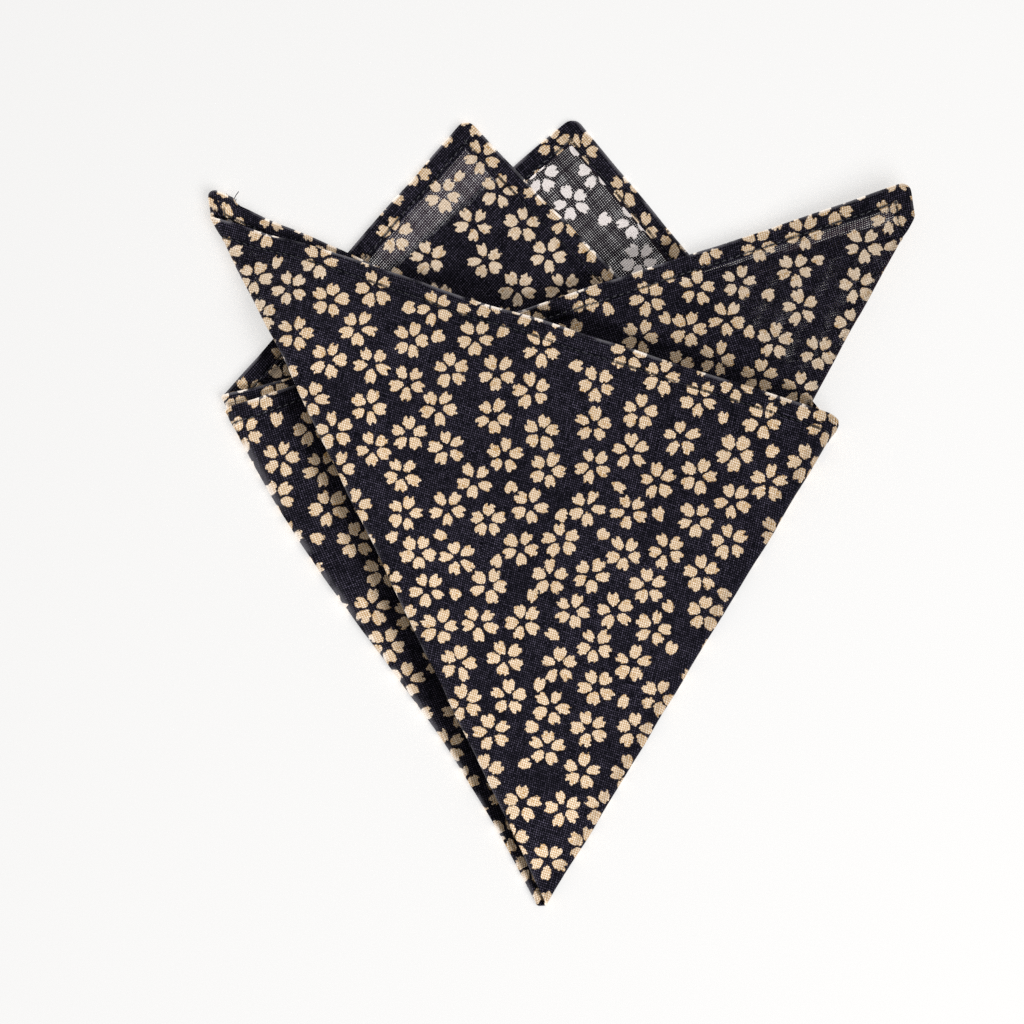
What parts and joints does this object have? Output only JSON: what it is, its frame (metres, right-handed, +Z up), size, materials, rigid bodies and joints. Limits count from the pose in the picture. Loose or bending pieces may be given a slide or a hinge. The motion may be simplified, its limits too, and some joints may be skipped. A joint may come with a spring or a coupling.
{
  "type": "handkerchief",
  "caption": "Printed cotton handkerchief in a flat folded fan, with pointed tips along its upper edge and a soft fold at its foot.",
  "frame": {"origin": "centre of the bounding box in plan, at the surface that the cloth lies on", "axes": "+Z up from the surface; +Y from the foot of the fan, where both creases start, towards its points; +X along the first fold, towards the viewer's right"},
  "size_m": [0.2206, 0.2502, 0.011],
  "materials": {
    "printed_cotton": "thin plain-weave cotton, near-black navy with beige cherry blossoms, matte"
  },
  "bodies": {
    "root": {"handkerchief": "printed_cotton"}
  },
  "joints": []
}
